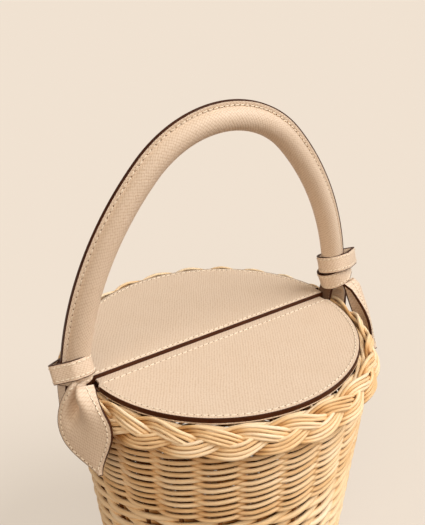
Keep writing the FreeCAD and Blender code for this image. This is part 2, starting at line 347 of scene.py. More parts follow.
def slab(shape, middle, thickness, uv, bulge=0.25):
    """Sheet of a thickness about a grid of points, with a rounded edge all round."""
    rows, columns = middle.shape[:2]
    normal = unit(np.cross(np.gradient(middle, axis=0), np.gradient(middle, axis=1)))
    number = np.arange(rows * columns).reshape(rows, columns)
    border = np.concatenate([number[0, :-1], number[:-1, -1], number[-1, :0:-1], number[:0:-1, 0]])
    flat = middle.reshape(-1, 3)
    inward = (np.clip(border // columns, 1, rows - 2) * columns
              + np.clip(border % columns, 1, columns - 2))
    outward = unit(flat[border] - flat[inward])
    top = shape.add_points(middle + normal * thickness / 2)
    low = shape.add_points(middle - normal * thickness / 2)
    rim = shape.add_points(flat[border] + outward * thickness * bulge)
    shape.add_sheet(top, rows, columns, uv)
    shape.add_sheet(low, rows, columns, uv, way=-1)
    k = np.arange(len(border))
    following = (k + 1) % len(border)
    edge_uv = uv.reshape(-1, 2)[border]
    corners = np.stack([edge_uv[k], edge_uv[k], edge_uv[following], edge_uv[following]], axis=1)
    upper, lower, tip = border + top, border + low, k + rim
    shape.add_quads(np.stack([upper, tip, tip[following], upper[following]], 1), corners)
    shape.add_quads(np.stack([tip, lower, lower[following], tip[following]], 1), corners)


def resample(path, up, pitch, closed):
    """Places a pitch apart along a path, with the directions along it and up from it."""
    along = run_length(path, closed)
    total = along[-1]
    count = max(2, round(total / pitch))
    if closed:
        path, up = np.vstack([path, path[:1]]), np.vstack([up, up[:1]])
    at = (np.arange(count) + (0 if closed else 0.5)) * total / count

    def read(values, places):
        return np.stack([np.interp(places, along, values[:, k]) for k in range(3)], axis=1)

    forward = unit(read(path, at + 0.5) - read(path, at - 0.5))
    return read(path, at), forward, square_to(unit(read(up, at)), forward)


# places along a stitch and how thick it is there, as shares of its half length and thickness
STITCH_RINGS = np.array(((-1.0, 0.35), (-0.8, 0.78), (-0.3, 1.0), (0.3, 1.0), (0.8, 0.78), (1.0, 0.35)))
STITCH_SIZE = (0.78, 0.9, 0.7)                  # length as a share of the pitch, width, height
STITCH_SLANT = 0.1
HOLE_SIZE = (0.75, 0.6, 0.2)
HOLE_LIFT = 0.02


def beads(shape, centre, forward, up, size, slant=0.0, sides=8):
    """Small rounded bars of a length, width and height, one at each place."""
    length, width, height = size
    across = np.cross(up, forward)
    forward, across = (forward * math.cos(slant) + across * math.sin(slant),
                       across * math.cos(slant) - forward * math.sin(slant))
    uv = np.stack(np.meshgrid(STITCH_RINGS[:, 0] * length / 2, np.arange(sides + 1) * width / 3,
                              indexing="ij"), axis=-1)
    round_out = (np.cos(around(sides)) * width / 2)[None, :, None]
    round_up = (np.sin(around(sides)) * height / 2)[None, :, None]
    for c, f, a, u in zip(centre, forward, across, up):
        ring_at = c + f * (STITCH_RINGS[:, :1] * length / 2)[:, :, None]
        shape.tube(ring_at + STITCH_RINGS[:, 1:, None] * (a * round_out + u * round_up), uv)


class Seam:
    """Thread, and dark beads of painted shade in the needle holes between the stitches, that go on a body
    together.
    """

    def __init__(self):
        self.thread = Shape()
        self.holes = Shape()

    def line(self, path, up, pitch=STITCH_PITCH, closed=False, lift=0.1):
        path = np.asarray(path, float)
        up = np.broadcast_to(np.asarray(up, float), path.shape)
        centre, forward, up_at = resample(path, up, pitch, closed)
        size = (STITCH_SIZE[0] * pitch,) + STITCH_SIZE[1:]
        beads(self.thread, centre + up_at * lift, forward, up_at, size, STITCH_SLANT)
        # painted shade: a small dark bead between each pair of stitches stands in for the shade inside the
        # needle hole
        gap = (centre + np.roll(centre, -1, axis=0)) / 2 + up_at * HOLE_LIFT
        keep = slice(None) if closed else slice(0, -1)
        beads(self.holes, gap[keep], forward[keep], up_at[keep], HOLE_SIZE, sides=6)

    def build(self, name):
        return [self.thread.build(name + "_stitches", THREAD),
                self.holes.build(name + "_hole_shade_beads", NEEDLE_HOLE_SHADE)]

    def place(self, name, body):
        for piece in self.build(name):
            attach(piece, body)


# ---- materials ----------------------------------------------------------------------------
def rgb(red, green, blue):
    """A shader's colour from the usual 0 to 255 values."""
    def linear(c):
        c /= 255
        return c / 12.92 if c <= 0.04045 else ((c + 0.055) / 1.055) ** 2.4
    return (linear(red), linear(green), linear(blue), 1.0)


def grey(value):
    return (value, value, value, 1.0)


class Nodes:
    """Short calls for the nodes of a material or of the world."""

    def __init__(self, owner):
        owner.use_nodes = True
        self.owner = owner
        self.nodes = owner.node_tree.nodes

    def set(self, socket, value):
        if isinstance(value, bpy.types.NodeSocket):
            self.owner.node_tree.links.new(value, socket)
        else:
            socket.default_value = value

    def set_all(self, node, inputs):
        """Sets a node's inputs to values or to other nodes' sockets."""
        for key, value in inputs.items():
            self.set(node.inputs[key], value)

    def add(self, kind, inputs=None, **settings):
        node = self.nodes.new(kind)
        for key, value in settings.items():
            setattr(node, key, value)
        self.set_all(node, inputs or {})
        return node

    def math(self, operation, a, b):
        return self.add("ShaderNodeMath", {0: a, 1: b}, operation=operation).outputs[0]

    def vector_math(self, operation, inputs):
        return self.add("ShaderNodeVectorMath", inputs, operation=operation).outputs[0]

    def ramp(self, value, stops):
        node = self.add("ShaderNodeValToRGB", {"Fac": value})
        elements = node.color_ramp.elements
        while len(elements) < len(stops):
            elements.new(0.5)
        for element, (place, colour) in zip(elements, stops):
            element.position = place
            element.color = colour
        return node.outputs["Color"]

    def noise(self, vector, scale, detail, rough=0.5, output=0):
        inputs = {"Vector": vector, "Scale": scale, "Detail": detail, "Roughness": rough}
        return self.add("ShaderNodeTexNoise", inputs).outputs[output]

    def mapped(self, vector, scale):
        return self.add("ShaderNodeMapping", {"Vector": vector, "Scale": scale}).outputs[0]

    def uv(self):
        """Texture coordinates in millimetres."""
        return self.add("ShaderNodeTexCoord").outputs["UV"]

    def place(self):
        """Places on the object in millimetres."""
        return self.mapped(self.add("ShaderNodeTexCoord").outputs["Object"], (1 / MM,) * 3)

    def bump(self, height, strength, depth_mm):
        inputs = {"Height": height, "Strength": strength, "Distance": depth_mm * MM}
        return self.add("ShaderNodeBump", inputs).outputs[0]

    def surface(self, colour, roughness, specular, **inputs):
        """The finished material; its other inputs are named with _ for a space."""
        shader = self.nodes["Principled BSDF"]
        self.set_all(shader, {"Base Color": colour, "Roughness": roughness, "Specular IOR Level": specular})
        self.set_all(shader, {key.replace("_", " "): value for key, value in inputs.items()})
        return self.owner


def make_rattan():
    """Peeled willow or rattan: long fibres, a soft shine, and each rod its own tone, with painted shade
    carried in the same tint: darker where rods pass inside, and dark stakes.
    """
    m = Nodes(bpy.data.materials.new("rattan"))
    uv = m.uv()
    fibre = m.noise(m.mapped(uv, (0.05, 2.6, 1)), 1.0, 5.0, 0.62)
    blotch = m.noise(m.mapped(uv, (0.035, 0.25, 1)), 1.0, 3.0)
    # the tint holds each rod's own tone plus painted shade; the ramp's dark end shows that painted shade
    tone = m.add("ShaderNodeAttribute", attribute_name="tint").outputs["Fac"]
    tone = m.math("ADD", tone, m.math("MULTIPLY", m.math("SUBTRACT", fibre, 0.5), 0.75))
    tone = m.math("ADD", tone, m.math("MULTIPLY", m.math("SUBTRACT", blotch, 0.5), 0.8))
    tone = m.add("ShaderNodeMapRange", {0: tone, 1: -0.6, 2: 1.1}).outputs[0]
    colour = m.ramp(tone, ((0.0, rgb(88, 46, 8)), (0.3, rgb(168, 114, 56)), (0.5, rgb(224, 182, 128)),
                           (0.7, rgb(244, 213, 168)), (1.0, rgb(255, 239, 212))))
    shine = m.ramp(fibre, ((0.25, grey(0.38)), (0.75, grey(0.6))))
    return m.surface(colour, shine, 0.22, Normal=m.bump(fibre, 0.5, 0.25))


def make_leather(name, coords):
    """Fine scale-embossed leather: small cells in rows that wave gently."""
    m = Nodes(bpy.data.materials.new(name))
    base = m.uv() if coords == "uv" else m.place()
    turned = m.add("ShaderNodeMapping", {"Vector": base, "Rotation": (0, 0, EMBOSS_TURN)}).outputs[0]
    drift = m.noise(turned, 0.028, 2.0, output="Color")
    sway = m.vector_math("SUBTRACT", {0: drift, 1: (0.5, 0.5, 0.5)})
    sway = m.vector_math("SCALE", {0: sway, "Scale": EMBOSS_SWAY})
    rows = m.mapped(m.vector_math("ADD", {0: turned, 1: sway}), (1 / EMBOSS_ROW, 1 / EMBOSS_CELL, 0.4))
    cells = m.add("ShaderNodeTexVoronoi", {"Vector": rows, "Scale": 1.0, "Randomness": 0.25},
                  voronoi_dimensions="2D").outputs["Distance"]
    grain = m.noise(base, 4.0, 3.0)
    groove = m.ramp(cells, ((0.28, grey(0.0)), (0.62, grey(1.0))))
    body = m.ramp(m.noise(base, 0.05, 2.0), ((0.3, rgb(229, 209, 188)), (0.7, rgb(232, 213, 193))))
    # painted shade: the grooves between the cells are mixed towards a darker tone
    share = m.math("MULTIPLY", groove, 0.6)
    colour = m.add("ShaderNodeMix", data_type="RGBA")
    m.set_all(colour, {0: share, 6: body, 7: rgb(200, 172, 143)})
    height = m.math("SUBTRACT", m.math("MULTIPLY", grain, 0.2), groove)
    return m.surface(colour.outputs[2], 0.5, 0.4, Normal=m.bump(height, 0.5, 0.2))


def make_plain(name, tones, scale, roughness, bump, specular, **inputs):
    """A surface with one fine grain and two close tones; bump is its strength and depth."""
    m = Nodes(bpy.data.materials.new(name))
    base = m.place()
    fine = m.noise(base, scale, 4.0, 0.6)
    wide = m.noise(base, scale / 12, 2.0)
    mixed = m.math("ADD", m.math("MULTIPLY", fine, 0.6), m.math("MULTIPLY", wide, 0.4))
    colour = m.ramp(mixed, ((0.3, rgb(*tones[0])), (0.7, rgb(*tones[1]))))
    return m.surface(colour, roughness, specular, Normal=m.bump(fine, *bump), **inputs)


def make_thread():
    """Waxed linen thread: a fine twist along each stitch."""
    m = Nodes(bpy.data.materials.new("thread"))
    twist = m.add("ShaderNodeTexWave", {"Vector": m.uv(), "Scale": 0.9, "Distortion": 0.6},
                  bands_direction="DIAGONAL").outputs["Fac"]
    colour = m.ramp(twist, ((0.0, rgb(222, 206, 182)), (0.6, rgb(250, 238, 220))))
    return m.surface(colour, 0.7, 0.3, Normal=m.bump(twist, 0.4, 0.12))


suede = make_plain("suede", ((104, 74, 52), (130, 96, 70)), 3.5, 0.95, (0.6, 0.2), 0.15, Sheen_Weight=0.35)
paint = make_plain("edge_paint", ((58, 26, 8), (74, 35, 13)), 0.8, 0.42, (0.25, 0.1), 0.2)
# painted shade for the needle holes: dark brown beads
hole_shading = make_plain("needle_hole_painted_shade", ((88, 62, 42), (110, 80, 56)), 2.0, 0.8, (0.2, 0.1), 0.1)
board = make_plain("board", ((151, 122, 88), (176, 146, 109)), 2.0, 0.9, (0.5, 0.15), 0.2)
steel = make_plain("steel", ((176, 172, 166), (198, 194, 188)), 1.2, 0.32, (0.15, 0.05), 0.4, Metallic=1.0)
filler = make_plain("cord_filler", ((214, 202, 180), (232, 222, 202)), 1.5, 0.9, (0.8, 0.3), 0.4)

# each finish is a material and the name of its slot
RATTAN = (make_rattan(), "rattan")
LEATHER = (make_leather("leather", "uv"), "leather")
LEATHER_BY_PLACE = (make_leather("leather_flat", "place"), "leather")
SUEDE = (suede, "suede_lining")
PAINT = (paint, "edge_paint")
NEEDLE_HOLE_SHADE = (hole_shading, "leather")
THREAD = (make_thread(), "thread")


# ---- basket -------------------------------------------------------------------------------
def wander(count, size, waves=(2, 3, 5, 9)):
    """A slow random waver that closes on itself."""
    angle = around(count)
    total = np.zeros(count)
    share = size / math.sqrt(len(waves))
    for wave in waves:
        total += rng.normal(0, share) * np.sin(wave * angle + rng.uniform(0, 2 * math.pi))
    return total


def ring_points(radius, z, angle):
    return np.stack([radius * np.cos(angle), radius * np.sin(angle), z + 0 * angle], axis=1)


def inward_at(angle):
    """Directions to the basket's axis."""
    return -ring_points(1.0, 0.0, angle)


def woven_row(shape, z, strands, inset, swing, rise, rod_r, tone, samples=240):
    """One row that goes in and out round the stakes: each strand is a turn behind the last."""
    angle = around(samples)
    level = wander(samples, 0.16)
    for strand in range(strands):
        phase = 2 * math.pi * ((angle - STAKE_FIRST) / STAKE_STEP - strand) / strands
        wave = np.cos(phase)
        if strands == 2:
            wave = wave * (1.35 - 0.35 * wave ** 2)
        radius = wall_r(z) - inset + swing * wave + wander(samples, 0.18, (3, 7, 11, 17))
        height = z + rise * np.sin(phase) + level + wander(samples, 0.13, (3, 7, 11, 17))
        # painted shade: the tint drops where the strand swings inside the stakes
        shade = rng.uniform(*tone) + ROD_INSIDE_SHADE * wave.clip(-1, 0)
        rod(shape, ring_points(radius, height, angle), rod_r * rng.uniform(0.93, 1.06), inward_at(angle),
            closed=True, tint=shade)


def make_weave(name, node, low, high):
    shape = Shape()
    rows = round((high - low) / ROW_PITCH)
    for row in range(rows):
        woven_row(shape, low + (row + 0.5) * (high - low) / rows, **WEAVER)
    shape.place(name, RATTAN, "basket", node)


def make_thick_rows():
    """The open rows, and the two rows of the foot."""
    for number in range(1, OPEN_ROWS + 1):
        node = "open_row_%d" % number
        low, high = box_mm(node)
        shape = Shape()
        woven_row(shape, (low[2] + high[2]) / 2, **THICK_ROW)
        shape.place("row_%d_of_thick_rods" % number, RATTAN, "basket", node)
    shape = Shape()
    for z in FOOT_LEVELS:
        woven_row(shape, z, **FOOT_ROW)
    shape.place("foot_rows", RATTAN, "basket", "foot_wale")


def make_stakes():
    shape = Shape()
    low, high = box_mm("stakes")
    z = np.linspace(low[2] + 2, high[2] - 1, 40)
    for number in range(STAKES):
        angle = STAKE_FIRST + number * STAKE_STEP
        radius = wall_r(z) - WEAVER["inset"] - STAKE_DEPTH + 0.15 * np.sin(z / 9 + number)
        way = (math.cos(angle), math.sin(angle), 0)
        path = np.stack([radius * way[0], radius * way[1], z], axis=1)
        # painted shade: each stake is tinted very dark, for the shade it stands in behind the rows
        rod(shape, path, STAKE_R * rng.uniform(0.94, 1.03), way, tint=rng.uniform(*ROD_TINTS_AND_STAKE_SHADE["stake"]))
    shape.place("upright_stakes", RATTAN, "basket", "stakes")


def make_border():
    """Flat plait of three strands, each of a few rods side by side."""
    shape = Shape()
    samples = 36 * BRAID_PERIODS
    angle = around(samples)
    across = (-math.sin(BRAID_LEAN), math.cos(BRAID_LEAN))
    out = (math.cos(BRAID_LEAN), math.sin(BRAID_LEAN))
    level = rel(BRAID_REL_Z) + BRAID_BACK_RISE * (1 + np.sin(angle)) / 2
    for strand in range(3):
        t = BRAID_PERIODS * angle + 2 * math.pi * strand / 3 + BRAID_PHASE
        depth = -BRAID_DEPTH * np.sin(2 * t)
        slope = BRAID_SWAY * np.cos(t) * BRAID_PERIODS / BRAID_R
        lean_share = 1 / np.sqrt(1 + slope ** 2)
        for place in np.arange(BRAID_RODS) - (BRAID_RODS - 1) / 2:
            offset = place * 2 * BRAID_ROD_R * 0.98
            h = BRAID_SWAY * np.sin(t) + offset * lean_share + wander(samples, BRAID_WAVER, BRAID_WAVES)
            n = depth + 0.3 * (1.5 - abs(place)) + wander(samples, BRAID_WAVER, BRAID_WAVES)
            path = ring_points(BRAID_R + across[0] * h + out[0] * n, level + across[1] * h + out[1] * n,
                               angle - offset * slope * lean_share / BRAID_R)
            # painted shade: each border rod is tinted darker where its strand lies deep in the plait
            shade = rng.uniform(*ROD_TINTS_AND_STAKE_SHADE["border"]) + ROD_INSIDE_SHADE * (depth / BRAID_DEPTH).clip(-1, 0) / 2
            rod(shape, path, BRAID_ROD_R * rng.uniform(0.88, 1.06), inward_at(angle), closed=True,
                tint=shade)
    shape.place("plaited_border", RATTAN, "basket", "rim_braid")


def make_inner_coil():
    """Two rods twisted round each other inside the border, with a gap at each handle strap."""
    shape = Shape()
    gap = math.asin((NOTCH_HALF_W + 1.5) / COIL_R)
    for start in (0, math.pi):
        angle = np.linspace(start + gap, start + math.pi - gap, 180)
        for strand in (0, 1):
            phase = STAKES * (angle - STAKE_FIRST) / 2 + math.pi * strand
            path = ring_points(COIL_R + COIL_TWIST[0] * np.cos(phase),
                               rel(COIL_REL_Z) + COIL_TWIST[1] * np.sin(phase), angle)
            rod(shape, path, COIL_ROD_R, inward_at(angle), tint=rng.uniform(*ROD_TINTS_AND_STAKE_SHADE["coil"]))
    shape.place("inner_rim_twist", RATTAN, "basket", "inner_rim_coil")


def make_base():
    """Woven round base: crossed sticks that fan out to the stakes, and rings woven through them."""
    shape = Shape()
    middle_z = (BASE_LOW[2] + BASE_HIGH[2]) / 2
    samples = 192
    angle = around(samples)
    for radius in np.arange(BASE_RING_R, BASE_HIGH[0] - 1, BASE_RING_PITCH):
        for strand in (0, 1):
            phase = math.pi * ((angle - STAKE_FIRST) / STAKE_STEP - strand)
            z = middle_z + BASE_WAVE[1] * np.cos(phase)
            r = radius + BASE_WAVE[0] * np.sin(phase) + wander(samples, 0.15)
            rod(shape, ring_points(r, z, angle), BASE_ROD_R, inward_at(angle), closed=True, sides=8,
                tint=rng.uniform(*ROD_TINTS_AND_STAKE_SHADE["base"]))
    shape.place("woven_base", RATTAN, "basket", "base_weave")
    reach = np.linspace(SPOKE_IN_R, BASE_HIGH[0] - 1.5, 12)
    for half, layer in enumerate(("lower", "upper")):
        shape = Shape()
        low, high = box_mm("base_sticks_" + layer)
        z = (low[2] + high[2]) / 2
        height = z + (middle_z - z) * np.minimum(reach / SPOKE_LEVEL_R, 1)
        for number in range(half, STAKES, 2):
            a = STAKE_FIRST + number * STAKE_STEP
            path = np.stack([reach * math.cos(a), reach * math.sin(a), height], axis=1)
            rod(shape, path, SPOKE_R, (0, 0, 1), sides=8, tint=rng.uniform(*ROD_TINTS_AND_STAKE_SHADE["spoke"]))
        shape.place("base_spokes_" + layer, RATTAN, "basket", "base_sticks_" + layer)


# ---- lid ----------------------------------------------------------------------------------
def stitched_line(reach, y, z):
    """A straight line across the lid."""
    return np.array([[x, y, z] for x in np.linspace(-reach, reach, 60)])


def make_flap():
    """The flap's leather runs on under the rear half, where it is held; it is built in one piece with that
    strip, with no bend set up.
    """
    edge = 0.4
    radius = FLAP_R - edge
    under = np.linspace(STRIP_HIGH[1], FLAP_ROUND_Y, 15)
    turn = np.linspace(math.asin(-FLAP_ROUND_Y / radius), math.radians(88.6), 60)[1:]
    y = np.concatenate([under, -radius * np.sin(turn)])
    half = np.minimum(np.sqrt(np.maximum(radius ** 2 - y ** 2, 0)),
                      STRIP_HIGH[0] - edge + (FLAP_EDGE_Y - y).clip(0) * 0.9)
    x = half[:, None] * np.linspace(-1, 1, 49)[None]
    height = LID_Z - LEATHER_T / 2
    middle = np.stack([x, np.broadcast_to(y[:, None], x.shape), np.full_like(x, height)], axis=-1)
    shape = Shape()
    slab(shape, middle, LEATHER_T, middle[:, :, :2])
    obj = shape.build("flap_leather_with_hinge", LEATHER)
    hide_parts("flap_leather", "lid_hinge_strip")
    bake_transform(obj)

    start = math.asin(-FLAP_ROUND_Y / FLAP_R)
    turn = np.linspace(math.pi + start, 2 * math.pi - start, 140)
    for name, high, low, finish in (
            ("flap_painted_edge", LID_Z, LID_Z - FLAP_PAINT_H, PAINT),
            ("flap_lower_edge", LID_Z - FLAP_PAINT_H, FLAP_LOW_Z, LEATHER_BY_PLACE)):
        shape = Shape()
        edge_path = ring_points(FLAP_R - 0.35, (high + low) / 2, turn)
        sweep(shape, edge_path, (0, 0, 1), rounded_bar((high - low) / 2, 0.6, 0.45))
        shape.place(name, finish, "lid_front")

    seam = Seam()
    inset = FLAP_R - STITCH_INSET
    corner = math.asin(-FLAP_SEAM_STITCH_Y / inset) + 0.02
    turn = np.linspace(math.pi + corner, 2 * math.pi - corner, 150)
    seam.line(ring_points(inset, LID_Z, turn), (0, 0, 1))
    reach = math.sqrt(inset ** 2 - FLAP_SEAM_STITCH_Y ** 2) - 1
    seam.line(stitched_line(reach, FLAP_SEAM_STITCH_Y, LID_Z), (0, 0, 1))
    seam.line(ring_points(inset, FLAP_LOW_Z, turn), (0, 0, -1))
    seam.place("flap", "lid_front")


def rear_outline(inset, arc_points=120, edge_points=40, side_points=5):
    """Outline of the rear half, drawn in by a distance, with a corner cut for each handle strap."""
    radius = REAR_R - inset
    notch_x, notch_y = NOTCH_X - inset, NOTCH_HALF_W + inset
    y = SEAM_Y + inset
    start = math.asin(notch_y / radius)
    arc = ring_points(radius, 0.0, np.linspace(start, math.pi - start, arc_points))[:, :2]
    straight = np.stack([np.linspace(-notch_x, notch_x, edge_points), np.full(edge_points, y)], axis=1)
    side = np.linspace(y, notch_y, side_points + 1)[1:]
    right = np.stack([np.full(side_points, notch_x), side], axis=1)
    left = np.stack([np.full(side_points, -notch_x), side[::-1]], axis=1)
    return np.vstack([straight, right, arc, left])


def make_rear_half():
    low, top = REAR_LEATHER_Z, REAR_TOP_Z
    profile = ((0.4, low), (0.3, low + 0.1), (0.3, top - 0.45), (0.42, top - 0.15), (0.75, top))
    rows = [np.insert(rear_outline(inset), 2, z, axis=1) for inset, z in profile]
    ends = []
    for row in (rows[0], rows[-1]):
        # both faces close on a line along the middle of the half
        target = np.column_stack([np.clip(row[:, 0], -60, 60) * 0.9, np.full(len(row), 45), row[:, 2]])
        ends.append([row + (target - row) * share for share in np.linspace(0, 1, 11)[1:]])
    grid = np.stack(ends[0][::-1] + rows + ends[1])
    shape = Shape()
    first = shape.add_points(grid)
    uv = np.concatenate([grid[:, :, :2], grid[:, :1, :2]], axis=1)
    shape.add_sheet(first, *grid.shape[:2], uv, wrap_columns=True)
    shape.place("rear_lid_top_leather", LEATHER, "basket", "rear_lid_leather")

    shape = Shape()
    path = np.insert(rear_outline(0.25), 2, (REAR_LOW_Z + top) / 2, axis=1)
    sweep(shape, path, (0, 0, 1), rounded_bar((top - REAR_LOW_Z) / 2 - 0.12, 0.5, 0.45), closed=True)
    shape.place("rear_lid_painted_edge", PAINT, "basket")

    seam = Seam()
    radius = REAR_R - STITCH_INSET - 0.2
    start = math.asin((NOTCH_HALF_W + 3) / radius)
    seam.line(ring_points(radius, top, np.linspace(start, math.pi - start, 160)), (0, 0, 1))
    seam.line(stitched_line(NOTCH_X - 3.5, SEAM_Y + 2.4, top), (0, 0, 1))
    seam.place("rear_lid", "basket")


def make_mouth_ring():
    """Leather ring that the flap closes on; its outer edge stays under the flap."""
    shape = Shape()
    middle_z = (MOUTH_LOW[2] + MOUTH_HIGH[2]) / 2
    gap = math.asin((NOTCH_HALF_W + 0.6) / MOUTH_HIGH[1])
    for start in (0, math.pi):
        turn = np.linspace(start + gap, start + math.pi - gap, 150)
        grid = np.stack([ring_points(radius, middle_z, turn)
                         for radius in np.linspace(RING_IN_R, RING_OUT_R, 5)], axis=1)
        slab(shape, grid, MOUTH_HIGH[2] - MOUTH_LOW[2] - 0.1, grid[..., :2], bulge=0.1)
    shape.place("mouth_ring_leather", LEATHER, "basket", "mouth_ring")


# ---- handle -------------------------------------------------------------------------------
def arch(outward):
    """Points of half the upright arch, moved out by a distance, and the directions out of it."""
    crown_z = rel(APEX_REL_Z) - CROWN_R
    step = CROWN_R - SHOULDER_R
    shoulder = (step * math.sin(CROWN_END), crown_z + step * math.cos(CROWN_END))
    points, outs = [], []
    for centre, radius, angles in (((0, crown_z), CROWN_R, np.linspace(0, CROWN_END, 40)),
                                   (shoulder, SHOULDER_R, np.linspace(CROWN_END, SHOULDER_END, 60)[1:])):
        out = np.stack([np.sin(angles), np.cos(angles)], axis=1)
        points.append(np.array(centre) + (radius + outward) * out)
        outs.append(out)
    return np.vstack(points), np.vstack(outs)


def leg_below(rel_z, outward=0.0):
    """Point of the straight leg at a height below the shoulder."""
    end = arch(outward)[0][-1]
    return np.array([end[0] - (rel(rel_z) - end[1]) / math.tan(SHOULDER_END), rel(rel_z)])


def lean_way(vectors):
    """Directions on the upright handle, turned to where it rests, leaning to the front."""
    vectors = np.asarray(vectors, float)
    turned = vectors.copy()
    c, s = math.cos(HANDLE_LEAN), math.sin(HANDLE_LEAN)
    turned[..., 1] = vectors[..., 1] * c - vectors[..., 2] * s
    turned[..., 2] = vectors[..., 1] * s + vectors[..., 2] * c
    return turned


def lean(points):
    """The same turn for points, about the line that the handle tips on."""
    pivot = np.array([0, 0, rel(TILT_REL_Z)])
    return lean_way(np.asarray(points, float) - pivot) + pivot


def full_path(outward, low_rel):
    """Whole arch from the left leg to the right one: points and outward directions in 3D, leaning."""
    half, outs = arch(outward)
    for height in np.arange(half[-1][1] - LID_Z - LEG_STEP, low_rel - 0.01, -LEG_STEP):
        half, outs = np.vstack([half, leg_below(height, outward)]), np.vstack([outs, outs[-1]])
    right, right_ways = np.insert(half, 1, 0, axis=1), np.insert(outs, 1, 0, axis=1)
    mirror = np.array([-1, 1, 1])
    return (lean(np.vstack([right[:0:-1] * mirror, right])),
            lean_way(np.vstack([right_ways[:0:-1] * mirror, right_ways])))


def tube_profile():
    """Round tube with a flat stitched flange on its outer side, as (outward, sideways) points."""
    start = math.asin(FLANGE_HALF_T / TUBE_R)
    turn = np.linspace(start, 2 * math.pi - start, 36)
    foot = TUBE_R * math.cos(start)
    lower = [(foot + 0.35, -FLANGE_HALF_T * 0.82), (foot + 0.9, -FLANGE_HALF_T * 0.86),
             (FLANGE_OUT - 2.0, -FLANGE_HALF_T), (FLANGE_OUT - 0.6, -FLANGE_HALF_T * 0.96),
             (FLANGE_OUT - 0.15, -FLANGE_HALF_T * 0.6)]
    upper = [(x, -y) for x, y in lower[::-1]]
    return np.vstack([ring_points(TUBE_R, 0, turn)[:, :2], lower, [(FLANGE_OUT, 0.0)], upper])


def make_handle():
    path, ways = full_path(0, 12)
    profile = tube_profile()
    flat = np.column_stack([np.clip(profile[:, 0] / TUBE_R, -1, 1) * FOOT_HALF_T,
                            np.clip(profile[:, 1], -FOOT_HALF_W, FOOT_HALF_W)])
    feet = []
    for height, share in FOOT_SHAPE:
        leg_x = leg_below(height)[0]
        feet.append((leg_x + (FOOT_X - leg_x) * share, 0, rel(height)))
    feet = np.array(feet)
    shares = np.array(FOOT_SHAPE)[:, 1]
    foot_profiles = profile + (flat - profile) * shares[:, None, None]
    profiles = np.concatenate([foot_profiles[::-1], np.broadcast_to(profile, (len(path),) + profile.shape),
                               foot_profiles])
    side_way = lean_way([(1, 0, 0.12)])[0]
    mirror = np.array([-1, 1, 1])
    ways = np.vstack([np.tile(side_way * mirror, (len(feet), 1)), ways, np.tile(side_way, (len(feet), 1))])
    shape = Shape()
    sweep(shape, np.vstack([lean(feet[::-1] * mirror), path, lean(feet)]), ways, profiles)
    shape.place("handle_leather", LEATHER, "handle", "handle_cover", crease=65)

    shape = Shape()
    sweep(shape, *full_path(FLANGE_OUT - 0.1, 9), rounded_bar(0.35, FLANGE_HALF_T + 0.06, 0.3))
    shape.place("handle_painted_edge", PAINT, "handle")

    seam = Seam()
    line, _ = full_path(TUBE_R + 0.75, 30)
    for sign in (-1, 1):
        aside = lean_way([(0, sign, 0)])[0]
        seam.line(line + aside * FLANGE_HALF_T * 0.9, aside, HANDLE_PITCH, lift=0.05)
    seam.place("handle", "handle")


# ---- knots, straps and leaf ends ----------------------------------------------------------
# for each band: middle (x, y, rel z), reach outwards, reach inwards, half depth, tilt up outwards
# and roll up to the front in degrees
BANDS = {
    "left": {"sign": -1,
             "upper": ((-108.9, -1.6, 15.2), (16.4, 9.0, 10.6), -2.0, 22.0),
             "lower": ((-109.4, -1.2, 12.9), (12.5, 8.9, 9.8), 0.0, 0.0)},
    "right": {"sign": 1,
              "upper": ((106.9, -2.2, 27.2), (23.0, 9.9, 10.2), -0.5, 17.0),
              "lower": ((108.7, -1.6, 15.2), (16.6, 9.8, 9.8), 15.0, 12.0)},
}
BAND_DRAW = 0.6          # how much a band narrows to the fold at its outer end
BAND_DRAW_FROM = 0.35


def band_path(sign, spec, lift=0.0, out=0.0, steps=120):
    """Points round a loop that draws in to a fold outwards, with directions out of it and its axis."""
    middle, (far, near, depth), tilt, roll = spec
    c, s = np.cos(around(steps)), np.sin(around(steps))
    x = sign * np.where(c > 0, far + out, near + out) * c
    y = (depth + out) * s * (1 - BAND_DRAW * ((c - BAND_DRAW_FROM) / (1 - BAND_DRAW_FROM)).clip(0))
    ring = np.stack([x, y, 0 * c], axis=1)
    along = unit(np.roll(ring, -1, axis=0) - np.roll(ring, 1, axis=0))
    ways = sign * np.cross(along, (0, 0, 1))
    turned = np.array(Matrix.Rotation(-sign * math.radians(tilt), 3, "Y")
                      @ Matrix.Rotation(-math.radians(roll), 3, "X"))
    axis = turned @ np.array([0.0, 0.0, 1.0])
    centre = np.array([middle[0], middle[1], rel(middle[2])])
    return centre + ring @ turned.T + axis * lift, ways @ turned.T, axis


def make_bands():
    for side, spec in BANDS.items():
        for which in ("upper", "lower"):
            loop = (spec["sign"], spec[which])
            path, ways, axis = band_path(*loop)
            name = "knot_%s_%s" % (which, side)
            shape = Shape()
            sweep(shape, path, ways, rounded_bar(BAND_W / 2, BAND_T / 2, 0.5)[:, ::-1], closed=True)
            shape.place(name + "_leather", LEATHER, "handle", name)
            edges = Shape()
            seam = Seam()
            for end in (-1, 1):
                at, _, _ = band_path(*loop, lift=end * (BAND_W / 2 - 0.1))
                sweep(edges, at, axis, rounded_bar(0.25, BAND_T / 2 + 0.05, 0.2), closed=True)
                at, _, _ = band_path(*loop, lift=end * (BAND_W / 2 - BAND_STITCH_INSET), out=BAND_T / 2)
                seam.line(at, ways, FINE_PITCH, closed=True)
            edges.place(name + "_painted_edges", PAINT, "handle")
            seam.place(name, "handle")


# the strap's way down inside the border, round under it and up outside, as (x, rel z)
STRAP_ROUTE = ((106.2, 13.0), (104.6, 7.0), (102.8, 0.0), (101.6, -8.0), (101.6, -17.0),
               (102.6, -21.5), (106.0, -23.2), (110.6, -23.4), (115.4, -23.2), (118.6, -21.5),
               (119.6, -17.0), (119.6, -8.0), (119.5, 0.0), (118.6, 7.0), (117.0, 13.0))
STRAP_POINTS = 90
STRAP_SMOOTHING = 7


